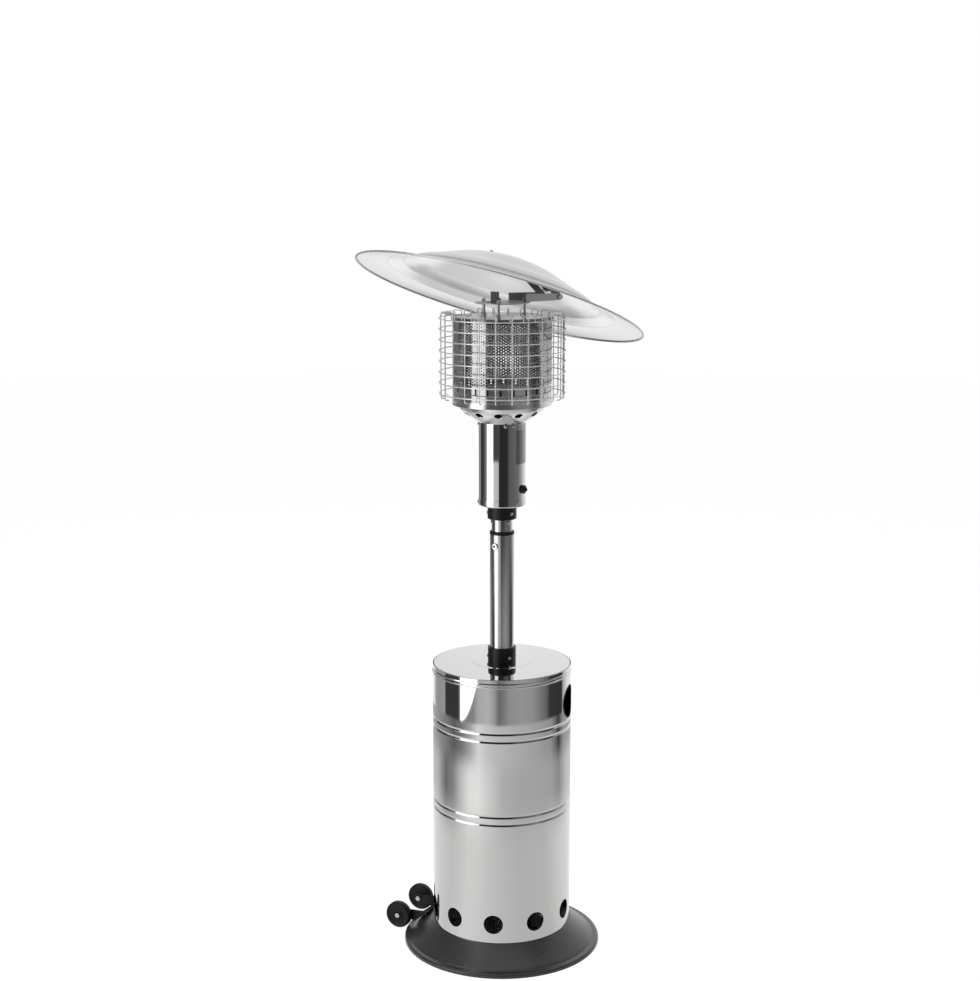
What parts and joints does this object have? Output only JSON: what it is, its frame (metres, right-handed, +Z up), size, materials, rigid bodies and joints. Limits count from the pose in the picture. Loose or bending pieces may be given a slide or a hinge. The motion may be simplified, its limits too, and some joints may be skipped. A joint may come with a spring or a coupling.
{
  "type": "patio heater",
  "caption": "Free-standing gas patio heater with a weighted wheeled base, lift-up bottle housing, telescopic mast, guarded perforated emitter and a tilting round reflector.",
  "frame": {"origin": "on the floor, on the mast's axis", "axes": "+Z up along the mast; +X towards the side that the reflector tips down to; +Y completes the right-handed frame"},
  "size_m": [0.7154, 0.76, 1.8595],
  "materials": {
    "base_paint": "dark grey hammertone paint",
    "ballast": "rough cast concrete",
    "zinc": "bright zinc plating",
    "bracket_black": "black powder coat",
    "wheel_plastic": "black moulded plastic",
    "leg_steel": "satin steel tube",
    "housing_steel": "polished stainless steel",
    "lid_steel": "mirror-polished stainless steel",
    "mast_steel": "satin-brushed stainless steel",
    "black_plastic": "black moulded plastic",
    "collar_black": "black powder coat",
    "body_steel": "polished stainless steel",
    "bowl_steel": "satin stainless steel",
    "emitter_steel": "perforated stainless steel",
    "cap_steel": "bright stainless steel",
    "wire_chrome": "chrome-plated wire",
    "mount_steel": "mid-grey steel",
    "reflector_alu": "bright rolled aluminium",
    "valve_brass": "plain machined brass",
    "ceramic": "white ceramic"
  },
  "bodies": {
    "base_frame": {"base_skirt": "base_paint", "floor_plate": "base_paint", "ballast_block": "ballast", "ballast_bolts": "zinc", "wheel_bracket": "bracket_black", "bracket_screws": "zinc", "wheel_bolts": "zinc", "wheel_nuts": "zinc", "support_leg_front": "leg_steel", "support_leg_side": "leg_steel", "support_leg_back": "leg_steel", "leg_bolts": "zinc", "mast_crown": "leg_steel", "mast_socket": "leg_steel", "socket_screws": "zinc", "outer_tube": "mast_steel", "tube_bush": "black_plastic", "lock_boss": "zinc", "lock_screw": "collar_black"},
    "wheel_l": {"wheel_left": "wheel_plastic"},
    "wheel_r": {"wheel_right": "wheel_plastic"},
    "housing": {"housing_shell": "housing_steel", "housing_lid": "lid_steel", "hand_hole_rim": "black_plastic", "lid_collar": "collar_black", "collar_screws": "zinc", "collar_ring": "collar_black"},
    "head": {"inner_tube": "mast_steel", "tube_glide": "black_plastic", "tube_bolts": "zinc", "head_collar": "collar_black", "head_screws": "zinc", "end_cap": "body_steel", "body_shell": "body_steel", "body_screws": "zinc", "gas_valve": "valve_brass", "gas_pipe": "valve_brass", "burner_venturi": "mount_steel", "burner_head": "mount_steel", "igniter_unit": "black_plastic", "spark_probe": "ceramic", "flame_probe": "valve_brass", "tilt_switch": "black_plastic", "burner_bowl": "bowl_steel", "emitter_screen": "emitter_steel", "emitter_cap": "cap_steel", "guard_cage": "wire_chrome", "mount_studs": "zinc", "stud_nuts": "zinc", "mount_disc": "mount_steel", "tilt_bracket": "mount_steel", "stop_tab": "mount_steel", "pivot_bolt": "zinc"},
    "gas_stem": {"valve_stem": "valve_brass"},
    "gas_knob": {"control_knob": "black_plastic"},
    "spark_button": {"igniter_button": "black_plastic"},
    "reflector": {"reflector_dish": "reflector_alu", "reflector_arm": "mount_steel", "level_catch": "mount_steel", "reflector_screws": "zinc"}
  },
  "joints": [
    {"name": "wheel_left_spin", "type": "hinge", "parent": "base_frame", "child": "wheel_l", "pos_m": [-0.184, 0.22001, 0.038], "axis": [-0.8949, -0.4462, 0], "continuous": true},
    {"name": "wheel_right_spin", "type": "hinge", "parent": "base_frame", "child": "wheel_r", "pos_m": [-0.06498, 0.27936, 0.038], "axis": [-0.8949, -0.4462, 0], "continuous": true},
    {"name": "housing_lift", "type": "slide", "parent": "base_frame", "child": "housing", "axis": [0, 0, 1], "range_m": [0, 0.25]},
    {"name": "mast_slide", "type": "slide", "parent": "base_frame", "child": "head", "axis": [0, 0, 1], "range_m": [0, 0.34]},
    {"name": "reflector_tilt", "type": "hinge", "parent": "head", "child": "reflector", "pos_m": [0.163, 0, 1.7282], "axis": [0, 1, 0], "range_deg": [-19.8, 0]},
    {"name": "stem_push", "type": "slide", "parent": "head", "child": "gas_stem", "axis": [-0.809, -0.5878, 0], "range_m": [0, 0.004], "stiffness_N_per_m": 900, "springref_m": -0.004},
    {"name": "knob_turn", "type": "hinge", "parent": "gas_stem", "child": "gas_knob", "pos_m": [0.06472, 0.04702, 1.24266], "axis": [0.809, 0.5878, 0], "range_deg": [0, 180]},
    {"name": "igniter_press", "type": "slide", "parent": "head", "child": "spark_button", "axis": [-0.3535, 0.9354, 0], "range_m": [0, 0.005], "stiffness_N_per_m": 500, "springref_m": -0.005}
  ]
}
